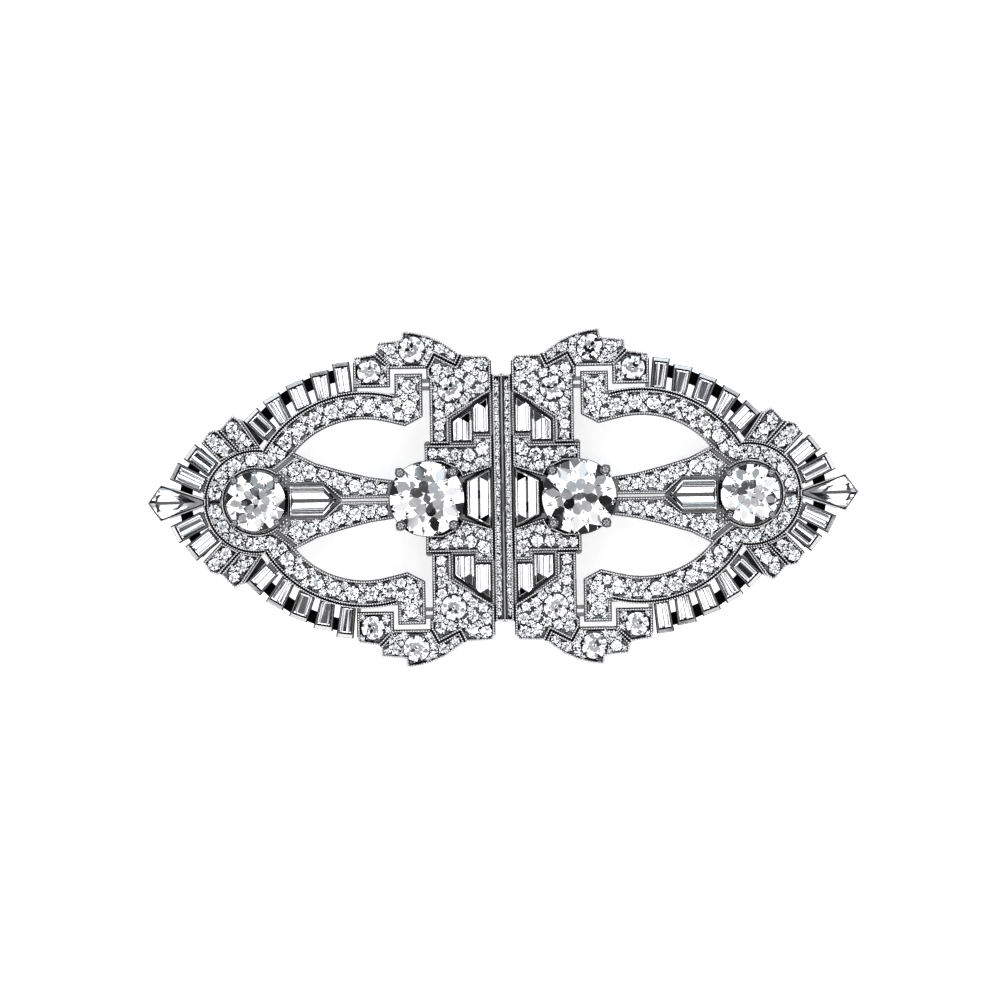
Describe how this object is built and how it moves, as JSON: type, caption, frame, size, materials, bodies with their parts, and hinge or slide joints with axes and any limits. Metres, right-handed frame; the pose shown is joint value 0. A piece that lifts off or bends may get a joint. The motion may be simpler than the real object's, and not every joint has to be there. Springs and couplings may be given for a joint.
{
  "type": "double clip brooch",
  "caption": "Art Deco diamond brooch of two mirrored clips that slide off a shared pin frame.",
  "frame": {"origin": "centre of the brooch's box on the surface that its spring flaps lie on", "axes": "+X along the long axis towards the right clip's tip, +Y across it, +Z out of the face"},
  "size_m": [0.08, 0.038, 0.0088],
  "materials": {
    "platinum": "polished",
    "diamond": "faceted and polished",
    "fitting_metal": "satin"
  },
  "bodies": {
    "frame": {"brooch_frame": "fitting_metal"},
    "left_clip": {"left_mount": "platinum", "left_flap": "fitting_metal", "left_large_stone": "diamond", "left_end_stone": "diamond", "left_kite_stone": "diamond", "left_bullet_stone": "diamond", "left_trapeze_stone": "diamond", "left_inner_calibre_upper": "diamond", "left_inner_calibre_lower": "diamond", "left_outer_calibre_upper": "diamond", "left_outer_calibre_lower": "diamond", "left_corner_stone_upper": "diamond", "left_corner_stone_lower": "diamond", "left_shoulder_stone_upper": "diamond", "left_shoulder_stone_lower": "diamond", "left_panel_stone_upper": "diamond", "left_panel_stone_lower": "diamond", "left_baguettes_upper": "diamond", "left_baguettes_lower": "diamond", "left_arc_pave_upper": "diamond", "left_arc_pave_lower": "diamond", "left_ring_pave": "diamond", "left_stem_pave": "diamond", "left_tip_bar_pave": "diamond", "left_plate_pave_upper": "diamond", "left_plate_pave_lower": "diamond"},
    "right_clip": {"right_mount": "platinum", "right_flap": "fitting_metal", "right_large_stone": "diamond", "right_end_stone": "diamond", "right_kite_stone": "diamond", "right_bullet_stone": "diamond", "right_trapeze_stone": "diamond", "right_inner_calibre_upper": "diamond", "right_inner_calibre_lower": "diamond", "right_outer_calibre_upper": "diamond", "right_outer_calibre_lower": "diamond", "right_corner_stone_upper": "diamond", "right_corner_stone_lower": "diamond", "right_shoulder_stone_upper": "diamond", "right_shoulder_stone_lower": "diamond", "right_panel_stone_upper": "diamond", "right_panel_stone_lower": "diamond", "right_baguettes_upper": "diamond", "right_baguettes_lower": "diamond", "right_arc_pave_upper": "diamond", "right_arc_pave_lower": "diamond", "right_ring_pave": "diamond", "right_stem_pave": "diamond", "right_tip_bar_pave": "diamond", "right_plate_pave_upper": "diamond", "right_plate_pave_lower": "diamond"}
  },
  "joints": [
    {"name": "left_clip_slide", "type": "slide", "parent": "frame", "child": "left_clip", "axis": [-1, 0, 0], "range_m": [0, 0.012]},
    {"name": "right_clip_slide", "type": "slide", "parent": "frame", "child": "right_clip", "axis": [1, 0, 0], "range_m": [0, 0.012]}
  ]
}
